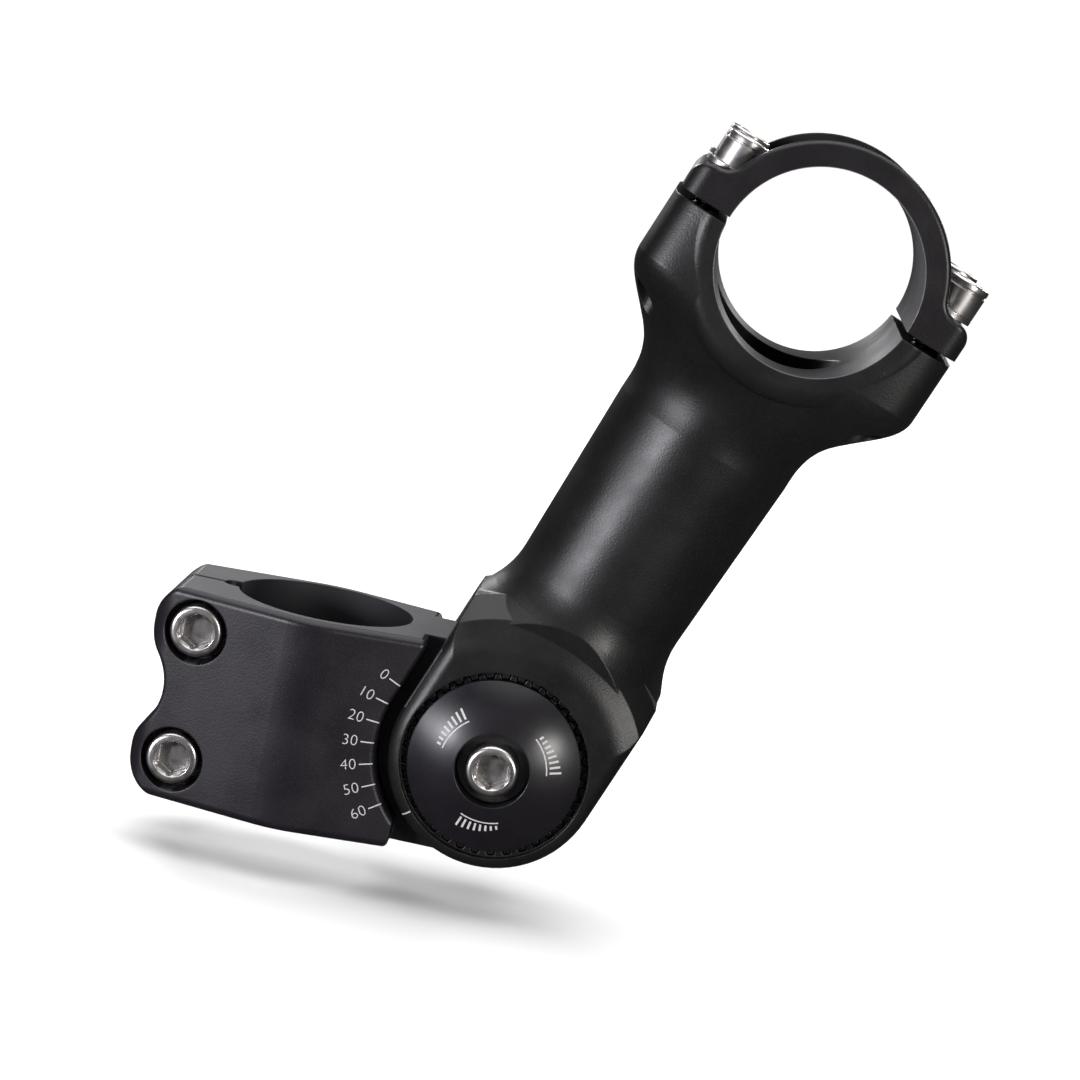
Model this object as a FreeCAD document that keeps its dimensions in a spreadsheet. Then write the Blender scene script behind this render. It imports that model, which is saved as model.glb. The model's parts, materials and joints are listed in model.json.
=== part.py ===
"""Adjustable bicycle handlebar stem.

A steerer clamp with a forward tongue carries an arm that tilts about a cross axle.  Two toothed
lock discs, one on each side, hold the arm's angle, and a four-bolt faceplate holds the handlebar.
The frame is +X forwards, +Y to the rider's left and +Z up the steerer.  The origin is on the
steerer axis at the clamp's bottom face.  Sizes are in millimetres.
"""
import FreeCAD, Part
import Sketcher
import math
import os
import re

from FreeCAD import Placement, Rotation, Vector

UPRIGHT = Rotation()
ACROSS = Rotation(Vector(1, 0, 0), -90)
ALONG = Rotation(Vector(0, 1, 0), 90)
SIDES = {"right": -1, "left": 1}

# Driving dimensions.  Every one becomes a named cell of the sheet "Dims".
DIMENSIONS = {
    "steerer clamp": {
        "steerer_radius": 14.3,
        "clamp_height": 34.4,
        "barrel_radius": 16.8,
        "flank_angle": 13.0,
        "block_front": 18.2,
        "clamp_rounding": 1.3,
        "boss_rounding": 0.8,
        "relief_rounding": 0.9,
        "rear_rounding": 4.5,
        "rear_clearance": 0.05,
        "slit_width": 1.0,
        "slit_relief_radius": 2.2,
        "slit_relief_setback": 0.4,
        "pinch_setback": 18.2,
        "pinch_spacing": 21.0,
        "pinch_boss_radius": 7.4,
        "pinch_waist_radius": 9.0,
        "pinch_recess_radius": 5.2,
        "pinch_seat": 8.2,
        "pinch_hole_radius": 2.8,
        "arm_relief_radius": 19.0,
    },
    "pivot": {
        "pivot_forward": 32.35,
        "pivot_height": 17.4,
        "tongue_half_width": 7.8,
        "tongue_radius": 17.0,
        "tongue_recess_depth": 1.5,
        "axle_radius": 6.0,
        "axle_half_length": 12.4,
        "running_gap": 0.1,
    },
    "arm": {
        "arm_angle": 69.0,
        "arm_length": 92.8,
        "ear_radius": 17.0,
        "ear_inner": 8.1,
        "ear_outer": 15.5,
        "ear_rounding": 2.6,
        "ear_face_radius": 19.5,
        "ear_bevel_radius": 23.3,
        "ear_bevel_height": 13.9,
        "ear_bevel_end": 26.5,
        "ear_bevel_foot": 9.5,
        "ear_bevel_rounding": 7.0,
        "neck_reach": 22.5,
        "neck_step": 0.1,
        "neck_half_width": 14.1,
        "neck_flat_end": 20.0,
        "fading_end": 66.0,
        "neck_start": 10.0,
        "neck_end": 26.5,
        "tube_radius": 14.4,
        "tube_end_radius": 15.3,
        "tube_end": 60.0,
        "flare_overlap": 4.0,
        "seam_tolerance": 0.005,
        "tube_bore_radius": 11.5,
        "crotch": 17.6,
    },
    "lock discs": {
        "spline_teeth": 36,
        "spline_low_radius": 13.7,
        "spline_high_radius": 14.5,
        "spline_gap": 0.25,
        "spline_top": 13.8,
        "tooth_foot_share": 0.27,
        "tooth_crest_share": 0.15,
        "tooth_slack": 0.6,
        "skirt_overlap": 0.2,
        "recess_radius": 15.0,
        "recess_depth": 1.6,
        "disc_radius": 13.75,
        "dome_radius": 24.85,
        "dome_centre": -5.35,
        "skirt_inner_radius": 11.2,
        "skirt_start": 8.4,
        "web_start": 13.6,
        "hub_radius": 8.4,
        "hub_start": 8.6,
        "bush_radius": 7.0,
        "bush_length": 4.0,
        "disc_recess_radius": 5.9,
        "disc_recess_floor": 15.0,
    },
    "release springs": {
        "spring_radius": 9.8,
        "spring_wire_radius": 0.55,
        "spring_pitch": 2.0,
        "spring_turns": 3,
        "spring_sections": 24,
    },
    "bar clamp": {
        "bar_radius": 15.9,
        "bar_wall": 3.9,
        "rim_radius": 20.8,
        "rim_rounding": 3.0,
        "base_half_width": 21.85,
        "cap_half_width": 21.55,
        "bar_ear_reach": 25.1,
        "cap_ear_reach": 24.7,
        "split_setback": 0.9,
        "split_gap": 1.2,
        "cap_ear_top": 5.1,
        "cap_lug_rounding": 3.0,
        "cap_seat_rounding": 3.2,
        "cap_edge_rounding": 0.8,
        "cap_channel_half_width": 17.6,
        "cap_channel_depth": 1.3,
        "cap_bolt_height": 19.9,
        "cap_bolt_side": 14.0,
        "cap_spot_radius": 4.2,
    },
    "fasteners": {
        "small_thread_radius": 2.5,
        "pivot_thread_radius": 3.0,
        "edge_break": 0.4,
        "pinch_head_radius": 4.2,
        "pinch_head_height": 4.6,
        "pinch_length": 19.6,
        "cap_head_radius": 3.55,
        "cap_head_height": 5.2,
        "cap_bolt_length": 21.0,
        "pivot_head_radius": 4.1,
        "pivot_head_height": 3.7,
        "pivot_bolt_length": 14.3,
        "washer_thickness": 0.8,
        "cap_washer_radius": 3.95,
        "pivot_washer_radius": 5.7,
        "large_key": 5.0,
        "small_key": 4.0,
        "key_depth": 2.6,
    },
}

# The flare's stations: how far along it, how much of its growth is done, and how square it is
# (2 is an ellipse).
FLARE = ((0, 0, 2), (0.18, 0.005, 2), (0.38, 0.12, 2.3), (0.57, 0.42, 3), (0.75, 0.76, 4.2),
         (0.9, 0.96, 5.8), (1, 1, 7))
FLARE_POINTS = 48

# How far a tool, or a piece that is joined inside another, reaches past the face it passes.
PAST = 1.0

# Two positions closer than this are the same.
SAME = 0.01

doc = FreeCAD.newDocument("adjustable_stem")
nodes = []


# ---------------------------------------------------------------- the sheet and expressions

def make_sheet():
    """Write the driving dimensions into a spreadsheet and give each cell its alias."""
    sheet = doc.addObject("Spreadsheet::Sheet", "Dims")
    row = 1
    for heading, group in DIMENSIONS.items():
        sheet.set(f"A{row}", heading)
        row += 1
        for alias, value in group.items():
            sheet.set(f"A{row}", alias.replace("_", " "))
            sheet.set(f"B{row}", str(value))
            sheet.setAlias(f"B{row}", alias)
            row += 1
    doc.recompute()
    return sheet


sheet = make_sheet()


def sized(text):
    """Turn words such as "bar_radius + bar_wall" into an expression on the sheet."""
    def with_sheet(match):
        word = match.group(0)
        return f"Dims.{word}" if any(word in group for group in DIMENSIONS.values()) else word
    return re.sub(r"[A-Za-z_]+", with_sheet, str(text))


def size(text):
    """The present value of an expression on the sheet."""
    value = sheet.evalExpression(sized(text))
    return float(getattr(value, "Value", value))


def bind(piece, **properties):
    """Bind properties of a document object to expressions on the sheet."""
    for name, text in properties.items():
        piece.setExpression(name, sized(text))


def put(piece, rotation, x="0", y="0", z="0"):
    """Turn a piece and bind its position to the sheet."""
    piece.Placement = Placement(Vector(size(x), size(y), size(z)), rotation)
    for axis, text in zip("xyz", (x, y, z)):
        piece.setExpression(f"Placement.Base.{axis}", sized(text))
    return piece


# ---------------------------------------------------------------- Part primitives and booleans

def box(name, x, y, z):
    """A box between the low and high expressions of each axis."""
    piece = doc.addObject("Part::Box", name)
    bind(piece, Length=f"({x[1]}) - ({x[0]})")
    bind(piece, Width=f"({y[1]}) - ({y[0]})")
    bind(piece, Height=f"({z[1]}) - ({z[0]})")
    return put(piece, UPRIGHT, x[0], y[0], z[0])


def cylinder(name, radius, length, rotation=UPRIGHT, x="0", y="0", z="0"):
    """A cylinder from its foot at x, y, z along the direction that rotation gives +Z."""
    piece = doc.addObject("Part::Cylinder", name)
    bind(piece, Radius=radius, Height=length)
    return put(piece, rotation, x, y, z)


def cross_cylinder(name, radius, low, high, x="0", z="0"):
    """A cylinder along Y between two expressions."""
    return cylinder(name, radius, f"({high}) - ({low})", ACROSS, x, low, z)


def cone(name, first_radius, second_radius, start, end):
    """A cone along X between two expressions."""
    piece = doc.addObject("Part::Cone", name)
    bind(piece, Radius1=first_radius, Radius2=second_radius, Height=f"({end}) - ({start})")
    return put(piece, ALONG, x=start)


def fuse(name, pieces):
    """All pieces joined into one."""
    result = doc.addObject("Part::MultiFuse", name)
    result.Shapes = pieces
    result.Refine = True
    return result


def common(name, pieces):
    """What all pieces share."""
    result = doc.addObject("Part::MultiCommon", name)
    result.Shapes = pieces
    return result


def cut(name, base, tools):
    """The base without its tools."""
    result = doc.addObject("Part::Cut", name)
    result.Base = base
    result.Tool = tools[0] if len(tools) == 1 else fuse(name + "_tools", tools)
    result.Refine = True
    return result


def near(first, second):
    """Whether two positions are the same."""
    return abs(first - second) < SAME


def edge_numbers(shape, wanted):
    """The numbers of the edges whose middle passes the test."""
    return [number for number, edge in enumerate(shape.Edges, start=1)
            if wanted(edge.valueAt((edge.FirstParameter + edge.LastParameter) / 2))]


def rounded(name, base, radius, wanted):
    """The base with the wanted edges rounded."""
    doc.recompute()
    result = doc.addObject("Part::Fillet", name)
    result.Base = base
    value = size(radius)
    result.Edges = [(number, value, value) for number in edge_numbers(base.Shape, wanted)]
    return result


# ---------------------------------------------------------------- PartDesign bodies

def new_body(label):
    """An empty body with its own label."""
    body = doc.addObject("PartDesign::Body", label)
    body.Label = label
    return body


def new_sketch(body, role, name, offset="0"):
    """A sketch on one of the body's own origin planes."""
    sketch = body.newObject("Sketcher::SketchObject", name)
    plane = next(item for item in body.Origin.OriginFeatures if item.Role == role)
    sketch.AttachmentSupport = [(plane, "")]
    sketch.MapMode = "FlatFace"
    sketch.AttachmentOffset = Placement(Vector(0, 0, size(offset)), Rotation())
    sketch.setExpression("AttachmentOffset.Base.z", sized(offset))
    return sketch


def outline(sketch, corners):
    """Close straight lines through corners whose coordinates are expressions on the sheet."""
    points = [Vector(size(across), size(up), 0) for across, up in corners]
    for start, end in zip(points, points[1:] + points[:1]):
        sketch.addGeometry(Part.LineSegment(start, end), False)
    count = len(points)
    for index in range(count):
        sketch.addConstraint(Sketcher.Constraint("Coincident", index, 2, (index + 1) % count, 1))
    for index, corner in enumerate(corners):
        for kind, axis, text, value in (("DistanceX", -2, corner[0], points[index].x),
                                        ("DistanceY", -1, corner[1], points[index].y)):
            if abs(value) < 1e-9:
                sketch.addConstraint(Sketcher.Constraint("PointOnObject", index, 1, axis))
                continue
            number = sketch.addConstraint(Sketcher.Constraint(kind, -1, 1, index, 1, value))
            constraint = f"{kind}_{index}"
            sketch.renameConstraint(number, constraint)
            sketch.setExpression(f"Constraints.{constraint}", sized(text))
    return sketch


def revolved(body, name, corners):
    """Turn an outline in the body's XZ plane about its Z axis."""
    sketch = outline(new_sketch(body, "XZ_Plane", name + "_outline"), corners)
    turning = body.newObject("PartDesign::Revolution", name)
    turning.Profile = sketch
    turning.ReferenceAxis = (sketch, ["V_Axis"])
    turning.Angle = 360
    body.Tip = turning
    return turning


def padded(body, name, sketch, length):
    """Pad a sketch by an expression."""
    pad = body.newObject("PartDesign::Pad", name)
    pad.Profile = sketch
    bind(pad, Length=length)
    body.Tip = pad
    return pad


def hexagon(across_flats):
    """The corners of a hexagon about the origin, as expressions."""
    corner = f"({across_flats}) / 2 / cos(30)"
    return [(f"{corner} * cos({60 * step})", f"{corner} * sin({60 * step})") for step in range(6)]


def socket_screw(label, head_radius, head_height, thread_radius, length, key):
    """A socket-head screw: seat at z = 0, head above it, thread below, with a hexagon socket."""
    body = new_body(label)
    corner = f"({key}) / 2 / cos(30)"
    revolved(body, "blank", [
        ("0", f"-({length})"),
        (f"{thread_radius} - edge_break", f"-({length})"),
        (thread_radius, f"edge_break - ({length})"),
        (thread_radius, "0"),
        (head_radius, "0"),
        (head_radius, f"{head_height} - edge_break"),
        (f"{head_radius} - edge_break", head_height),
        (f"{corner} + edge_break / 2", head_height),
        (f"{corner} - edge_break", f"{head_height} - edge_break * 1.5"),
        ("0", f"{head_height} - edge_break * 1.5"),
    ])
    doc.recompute()
    sketch = outline(new_sketch(body, "XY_Plane", "key_outline", head_height), hexagon(key))
    socket = body.newObject("PartDesign::Pocket", "socket")
    socket.Profile = sketch
    bind(socket, Length="key_depth")
    body.Tip = socket
    return body


def ring(label, inner_radius, outer_radius, start, end):
    """A plain ring about Z, such as a washer or a bush."""
    body = new_body(label)
    revolved(body, "section", [(inner_radius, start), (outer_radius, start),
                               (outer_radius, end), (inner_radius, end)])
    return body


# ---------------------------------------------------------------- placing the sub-parts

def keep(piece, label):
    """Give a finished sub-part its name and put it on the list that is written out."""
    piece.Label = label
    nodes.append(piece)
    return piece


def on_arm(piece, own=Placement()):
    """Place a piece from the arm's frame, whose origin is the pivot and whose X is its length."""
    pivot = Vector(size("pivot_forward"), 0, size("pivot_height"))
    arm_frame = Placement(pivot, Rotation(Vector(0, -1, 0), size("arm_angle")))
    piece.Placement = arm_frame.multiply(own)
    return piece


def outwards(side):
    """The turn that points a piece's own Z axis out of the stem's left or right side."""
    return Rotation(Vector(1, 0, 0), -90 * side)


# ---------------------------------------------------------------- toothed outlines

def toothed_prism(name, low_radius, high_radius, widening, start, end):
    """A splined plug about Z.  Its teeth are widened by a number of degrees on each flank."""
    teeth = int(size("spline_teeth"))
    pitch = 360 / teeth
    foot = size("tooth_foot_share") * pitch + widening
    crest = size("tooth_crest_share") * pitch + widening
    corners = []
    for tooth in range(teeth):
        for radius, offset in ((low_radius, -foot), (high_radius, -crest),
                               (high_radius, crest), (low_radius, foot)):
            angle = math.radians(tooth * pitch + offset)
            corners.append(Vector(radius * math.cos(angle), radius * math.sin(angle), start))
    face = Part.Face(Part.makePolygon(corners + corners[:1]))
    piece = doc.addObject("Part::Feature", name)
    piece.Shape = face.extrude(Vector(0, 0, end - start))
    return piece


def spline_hole(name, side, start, end):
    """The splined hole that a lock disc's teeth slide in, as a cutting plug along Y."""
    gap = size("spline_gap")
    plug = toothed_prism(name, size("spline_low_radius") + gap, size("spline_high_radius") + gap,
                         size("tooth_slack"), start, end)
    plug.Placement = Placement(Vector(), outwards(side))
    return plug


# ---------------------------------------------------------------- steerer clamp

def clamp_plan():
    """The clamp seen from above: a barrel with flanks that close in to the front and the back."""
    body = new_body("clamp_plan")
    rear = "(pinch_setback + pinch_boss_radius + rear_clearance)"
    widest = "barrel_radius / cos(flank_angle)"
    rear_side = f"({widest} - {rear} * tan(flank_angle))"
    front_side = f"({widest} - block_front * tan(flank_angle))"
    sketch = outline(new_sketch(body, "XY_Plane", "plan"), [
        (f"-{rear}", f"-{rear_side}"),
        ("0", f"-{widest}"),
        ("block_front", f"-{front_side}"),
        ("block_front", front_side),
        ("0", widest),
        (f"-{rear}", rear_side),
    ])
    base = padded(body, "plan_pad", sketch, "clamp_height")
    for name, radius, wanted in (
            ("barrel_rounding", "barrel_radius", lambda point: near(point.x, 0)),
            ("rear_corner_rounding", "rear_rounding", lambda point: point.x < -size(rear) + SAME),
            ("top_and_bottom_rounding", "clamp_rounding", None)):
        doc.recompute()
        height = size("clamp_height")
        chosen = []
        for number, edge in enumerate(base.Shape.Edges, start=1):
            upright = abs(edge.Vertexes[0].Point.z - edge.Vertexes[-1].Point.z) > height / 2
            if wanted is None and not upright:
                chosen.append(f"Edge{number}")
            if wanted is not None and upright and wanted(edge.Vertexes[0].Point):
                chosen.append(f"Edge{number}")
        fillet = body.newObject("PartDesign::Fillet", name)
        fillet.Base = (base, chosen)
        bind(fillet, Radius=radius)
        body.Tip = fillet
        base = fillet
    return body


def pinch_height(level):
    """The height of the upper (1) or lower (-1) pinch bolt, as an expression."""
    return f"(pivot_height + {level} * pinch_spacing / 2)"


def clamp_side():
    """The clamp seen from the side: a block with two round bosses and a waist at its back."""
    reach = ("-barrel_radius * 2", "barrel_radius * 2")
    block = box("side_block", ("-pinch_setback", "block_front"), reach, ("0", "clamp_height"))
    bosses = [cross_cylinder(f"boss_{word}", "pinch_boss_radius", *reach,
                             "-pinch_setback", pinch_height(level))
              for word, level in (("upper", 1), ("lower", -1))]
    waist_reach = "sqrt((pinch_boss_radius + pinch_waist_radius)^2 - (pinch_spacing / 2)^2)"
    waist_centre = f"-pinch_setback - {waist_reach}"
    share = "pinch_boss_radius / (pinch_boss_radius + pinch_waist_radius)"
    touch = f"pinch_setback + {waist_reach} * {share}"
    half = f"(pinch_spacing / 2 * (1 - {share}))"
    web = box("waist_web", (f"-({touch})", "-pinch_setback"), reach,
              (f"pivot_height - {half}", f"pivot_height + {half}"))
    hollow = cross_cylinder("waist_hollow", "pinch_waist_radius", *reach,
                            waist_centre, "pivot_height")
    return fuse("clamp_side", [block, *bosses, cut("waist", web, [hollow])])


def arm_relief(side):
    """The room that one ear of the arm sweeps in front of the clamp's side block."""
    centre = Vector(size("pivot_forward"), 0, size("pivot_height"))
    near = size("tongue_half_width")
    far = 2 * size("barrel_radius")
    low = near if side > 0 else -far
    circle = cross_cylinder(f"relief_circle_{side + 1}", "arm_relief_radius", low, low + far - near,
                            "pivot_forward", "pivot_height")
    lane = doc.addObject("Part::Box", f"relief_lane_{side + 1}")
    bind(lane, Length="clamp_height * 2", Height="arm_relief_radius * 2")
    lane.Width = far - near
    tilt = Placement(centre, Rotation(Vector(0, -1, 0), size("arm_angle")))
    lane.Placement = tilt.multiply(Placement(Vector(0, low, -size("arm_relief_radius")), Rotation()))
    return [circle, lane]


def on_relief_face(middle):
    """Whether a point lies on an outer edge of the faces that clear the arm."""
    angle = math.radians(size("arm_angle"))
    forward = middle.x - size("pivot_forward")
    up = middle.z - size("pivot_height")
    radius = size("arm_relief_radius")
    on_circle = near(math.hypot(forward, up), radius)
    on_lane = near(up * math.cos(angle) - forward * math.sin(angle), radius)
    return (on_circle or on_lane) and abs(middle.y) > size("tongue_half_width") + PAST


def steerer_clamp():
    """The forged clamp with its tongue, steerer bore, slit, bolt holes and toothed recesses."""
    reach = ("-barrel_radius * 2", "barrel_radius * 2")
    blank = common("clamp_blank", [clamp_plan(), clamp_side()])
    rear_edge = -size("pinch_setback") - SAME
    beside_slit = size("slit_relief_radius")
    blank = rounded("clamp_blank_rounded", blank, "boss_rounding",
                    lambda middle: middle.x < rear_edge and abs(middle.y) > beside_slit)
    blocks = cut("side_blocks", blank, arm_relief(-1) + arm_relief(1))
    blocks = rounded("side_blocks_rounded", blocks, "relief_rounding", on_relief_face)
    width = ("-tongue_half_width", "tongue_half_width")
    tongue = fuse("tongue", [
        box("tongue_web", (f"steerer_radius - {PAST}", "pivot_forward"), width,
            ("pivot_height - tongue_radius", "clamp_height")),
        cross_cylinder("tongue_end", "tongue_radius", *width, "pivot_forward", "pivot_height"),
    ])
    solid = fuse("clamp_solid", [blocks, tongue])
    tools = [
        cylinder("steerer_bore", "steerer_radius", f"clamp_height + 2 * {PAST}", z=f"-{PAST}"),
        box("slit", ("-pinch_setback * 2", "0"), ("-slit_width / 2", "slit_width / 2"),
            (f"-{PAST}", f"clamp_height + {PAST}")),
        cylinder("slit_relief", "slit_relief_radius", f"clamp_height + 2 * {PAST}",
                 x="-steerer_radius - slit_relief_setback", z=f"-{PAST}"),
        cross_cylinder("axle_bore", "axle_radius", *width, "pivot_forward", "pivot_height"),
    ]
    for word, level in (("upper", 1), ("lower", -1)):
        where = ("-pinch_setback", pinch_height(level))
        tools += [
            cross_cylinder(f"recess_{word}", "pinch_recess_radius", reach[0], "-pinch_seat", *where),
            cross_cylinder(f"passage_{word}", "pinch_hole_radius", reach[0], "0", *where),
            cross_cylinder(f"thread_{word}", "small_thread_radius + running_gap", "0", reach[1], *where),
        ]
    for word, side in SIDES.items():
        floor = size("tongue_half_width - tongue_recess_depth")
        recess = spline_hole(f"tongue_recess_{word}", side, floor, size("tongue_half_width") + PAST)
        recess.Placement.Base = Vector(size("pivot_forward"), 0, size("pivot_height"))
        tools.append(recess)
    return keep(cut("clamp_cut", solid, tools), "steerer_clamp")


def pinch_bolts():
    """The two screws that close the slit; their heads sit in recesses on the right-hand side."""
    for word, level in (("upper", 1), ("lower", -1)):
        screw = socket_screw(f"pinch_bolt_{word}", "pinch_head_radius", "pinch_head_height",
                             "small_thread_radius", "pinch_length", "large_key")
        put(screw, outwards(-1), "-pinch_setback", "-pinch_seat", pinch_height(level))
        keep(screw, f"pinch_bolt_{word}")


# ---------------------------------------------------------------- pivot axle, discs and springs

def pivot_axle():
    """The tapped steel axle that is pressed into the tongue."""
    axle = new_body("pivot_axle")
    hole = "pivot_thread_radius + running_gap"
    end = "axle_half_length"
    revolved(axle, "section", [
        (hole, f"-{end}"), ("axle_radius - edge_break", f"-{end}"),
        ("axle_radius", f"edge_break - {end}"), ("axle_radius", f"{end} - edge_break"),
        ("axle_radius - edge_break", end), (hole, end),
    ])
    put(axle, ACROSS, "pivot_forward", "0", "pivot_height")
    keep(axle, "pivot_axle")


def lock_disc(word):
    """A domed cap with a splined skirt, a hub for its bush and a recess for the bolt's head."""
    body = new_body(f"disc_turning_{word}")
    hole = "pivot_thread_radius + running_gap"
    revolved(body, "section", [
        ("bush_radius", "hub_start"), ("hub_radius", "hub_start"), ("hub_radius", "web_start"),
        ("skirt_inner_radius", "web_start"), ("skirt_inner_radius", "skirt_start"),
        ("spline_low_radius - skirt_overlap", "skirt_start"),
        ("spline_low_radius - skirt_overlap", "spline_top - skirt_overlap"),
        ("disc_radius", "spline_top - skirt_overlap"), ("disc_radius", "dome_centre + dome_radius"),
        ("disc_recess_radius", "dome_centre + dome_radius"),
        ("disc_recess_radius", "disc_recess_floor"),
        (hole, "disc_recess_floor"), (hole, "hub_start + bush_length"),
        ("bush_radius", "hub_start + bush_length"),
    ])
    dome = doc.addObject("Part::Sphere", f"dome_{word}")
    bind(dome, Radius="dome_radius")
    put(dome, UPRIGHT, z="dome_centre")
    capped = common(f"domed_{word}", [body, dome])
    teeth = toothed_prism(f"skirt_plug_{word}", size("spline_low_radius"), size("spline_high_radius"),
                          0, size("skirt_start"), size("spline_top"))
    inside = cylinder(f"skirt_inside_{word}", "spline_low_radius - 2 * skirt_overlap", "spline_top",
                      z=f"skirt_start - {PAST}")
    return fuse(f"disc_{word}", [capped, cut(f"teeth_{word}", teeth, [inside])])


def pivot_side(word, side):
    """Everything that one lock disc carries, and the spring behind it."""
    turn = outwards(side)
    on_arm(keep(lock_disc(word), f"lock_disc_{word}"), Placement(Vector(), turn))
    bush = ring(f"pivot_bush_{word}", "axle_radius + running_gap", "bush_radius",
                "hub_start", "hub_start + bush_length")
    on_arm(keep(bush, f"pivot_bush_{word}"), Placement(Vector(), turn))
    washer = ring(f"pivot_washer_{word}", "pivot_thread_radius + running_gap", "pivot_washer_radius",
                  "disc_recess_floor", "disc_recess_floor + washer_thickness")
    on_arm(keep(washer, f"pivot_washer_{word}"), Placement(Vector(), turn))
    bolt = socket_screw(f"pivot_bolt_{word}", "pivot_head_radius", "pivot_head_height",
                        "pivot_thread_radius", "pivot_bolt_length", "large_key")
    seat = side * size("disc_recess_floor + washer_thickness")
    on_arm(keep(bolt, f"pivot_bolt_{word}"), Placement(Vector(0, seat, 0), turn))
    release_spring(word, side)


def release_spring(word, side):
    """A coil spring round the hub that pushes the lock disc out when its bolt is loosened."""
    radius = size("spring_radius")
    pitch = size("spring_pitch")
    slope = Vector(0, 2 * math.pi * radius, pitch)
    section = Part.Wire(Part.makeCircle(size("spring_wire_radius"), Vector(radius, 0, 0), slope))
    sections = []
    for step in range(int(size("spring_turns * spring_sections")) + 1):
        turns = step / size("spring_sections")
        placed = section.copy()
        placed.Placement = Placement(Vector(0, 0, pitch * turns), Rotation(Vector(0, 0, 1), 360 * turns))
        sections.append(placed)
    spring = doc.addObject("Part::Feature", f"release_spring_{word}")
    spring.Shape = Part.makeLoft(sections, True, True)
    height = size("tongue_half_width - tongue_recess_depth + spring_wire_radius + running_gap")
    foot = Vector(size("pivot_forward"), side * height, size("pivot_height"))
    spring.Placement = Placement(foot, outwards(side))
    keep(spring, f"release_spring_{word}")


# ---------------------------------------------------------------- arm

def rounded_section(position, half_height, half_width, power):
    """A closed smooth outline square to X, from an ellipse (power 2) to a rounded rectangle."""
    points = []
    for step in range(FLARE_POINTS):
        angle = math.radians(360 * step / FLARE_POINTS)
        across = math.copysign(abs(math.cos(angle)) ** (2 / power), math.cos(angle)) * half_width
        up = math.copysign(abs(math.sin(angle)) ** (2 / power), math.sin(angle)) * half_height
        points.append(Vector(position, across, up))
    curve = Part.BSplineCurve()
    curve.interpolate(points, PeriodicFlag=True)
    return Part.Wire(curve.toShape())


def bar_clamp_flare():
    """The smooth flare from the round tube to the wide block behind the handlebar."""
    tube = size("tube_end_radius")
    reach = size("bar_ear_reach")
    width = size("base_half_width")
    start = size("tube_end")
    full = size("arm_length - bar_radius + flare_overlap")
    run = full - start
    sections = []
    for share, growth, power in FLARE:
        sections.append(rounded_section(start + share * run, tube + growth * (reach - tube),
                                        tube + growth * (width - tube), power))
    flare = Part.makeLoft(sections, True, False)
    end_face = Part.Face(sections[-1])
    block = end_face.extrude(Vector(size("arm_length - split_setback - split_gap / 2") - full, 0, 0))
    neck = size("neck_end")
    barrel = Part.makeCone(size("tube_radius"), tube, start - neck, Vector(neck, 0, 0), Vector(1, 0, 0))
    piece = doc.addObject("Part::Feature", "bar_clamp_flare")
    piece.Shape = barrel.fuse([flare, block], size("seam_tolerance")).removeSplitter()
    return piece


def ear_plate():
    """The ears' outer shape: flat faces that fall away in a soft bevel beyond the pivot."""
    sides = ("-ear_outer", "ear_outer")
    blank = fuse("ear_blank", [
        cross_cylinder("ear_end", "ear_radius", *sides),
        box("ear_band", ("0", "ear_bevel_end"), sides, ("-ear_radius", "ear_radius")),
    ])
    outer = size("ear_outer")
    end = size("ear_bevel_end")
    blank = rounded("ear_blank_rounded", blank, "ear_rounding",
                    lambda middle: near(abs(middle.y), outer) and middle.x < end - SAME)
    bevel = new_body("ear_bevel")
    revolved(bevel, "section", [
        ("0", "-ear_outer"), ("ear_face_radius", "-ear_outer"), ("ear_bevel_radius", "-ear_bevel_height"),
        ("ear_bevel_end", "-ear_bevel_foot"), ("ear_bevel_end", "ear_bevel_foot"),
        ("ear_bevel_radius", "ear_bevel_height"), ("ear_face_radius", "ear_outer"), ("0", "ear_outer"),
    ])
    soft = rounded("ear_bevel_rounded", bevel, "ear_bevel_rounding",
                   lambda middle: near(abs(middle.z), outer))
    put(soft, ACROSS)
    return common("ear_plate", [blank, soft])


def arm_fork():
    """The two ears, before the slot is cut, and the shoulder that leads to the round tube."""
    neck = fuse("neck_turning", [
        cylinder("neck_barrel", "neck_reach", "neck_start", ALONG),
        cone("neck_shoulder", "neck_reach", "tube_radius", "neck_start", "neck_end"),
        cone("tube", "tube_radius", "tube_end_radius", "neck_end", "tube_end"),
    ])
    end = size("neck_end")
    neck = rounded("neck_rounded", neck, "tube_radius",
                   lambda middle: near(middle.x, end))
    slab = box("neck_slab", ("0", "neck_flat_end"), ("-neck_half_width", "neck_half_width"),
               ("neck_step - ear_radius", "ear_radius - neck_step"))
    fading = doc.addObject("Part::Wedge", "neck_fading_flats")
    bind(fading, Xmin="-neck_half_width", Xmax="neck_half_width", X2min="-ear_radius * 1.5",
         X2max="ear_radius * 1.5", Ymin="0", Ymax="fading_end - neck_flat_end",
         Zmin="neck_step - ear_radius", Zmax="ear_radius - neck_step",
         Z2min="neck_step - ear_radius", Z2max="ear_radius - neck_step")
    put(fading, Rotation(Vector(0, 0, 1), -90), x="neck_flat_end")
    neck = common("neck", [neck, fuse("neck_keep", [slab, fading])])
    return fuse("fork", [ear_plate(), neck])


def cap_bolt_places():
    """The four faceplate bolts: name, height sign and side sign."""
    return [(f"{level_word}_{side_word}", level, side)
            for level_word, level in (("upper", 1), ("lower", -1))
            for side_word, side in SIDES.items()]


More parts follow.
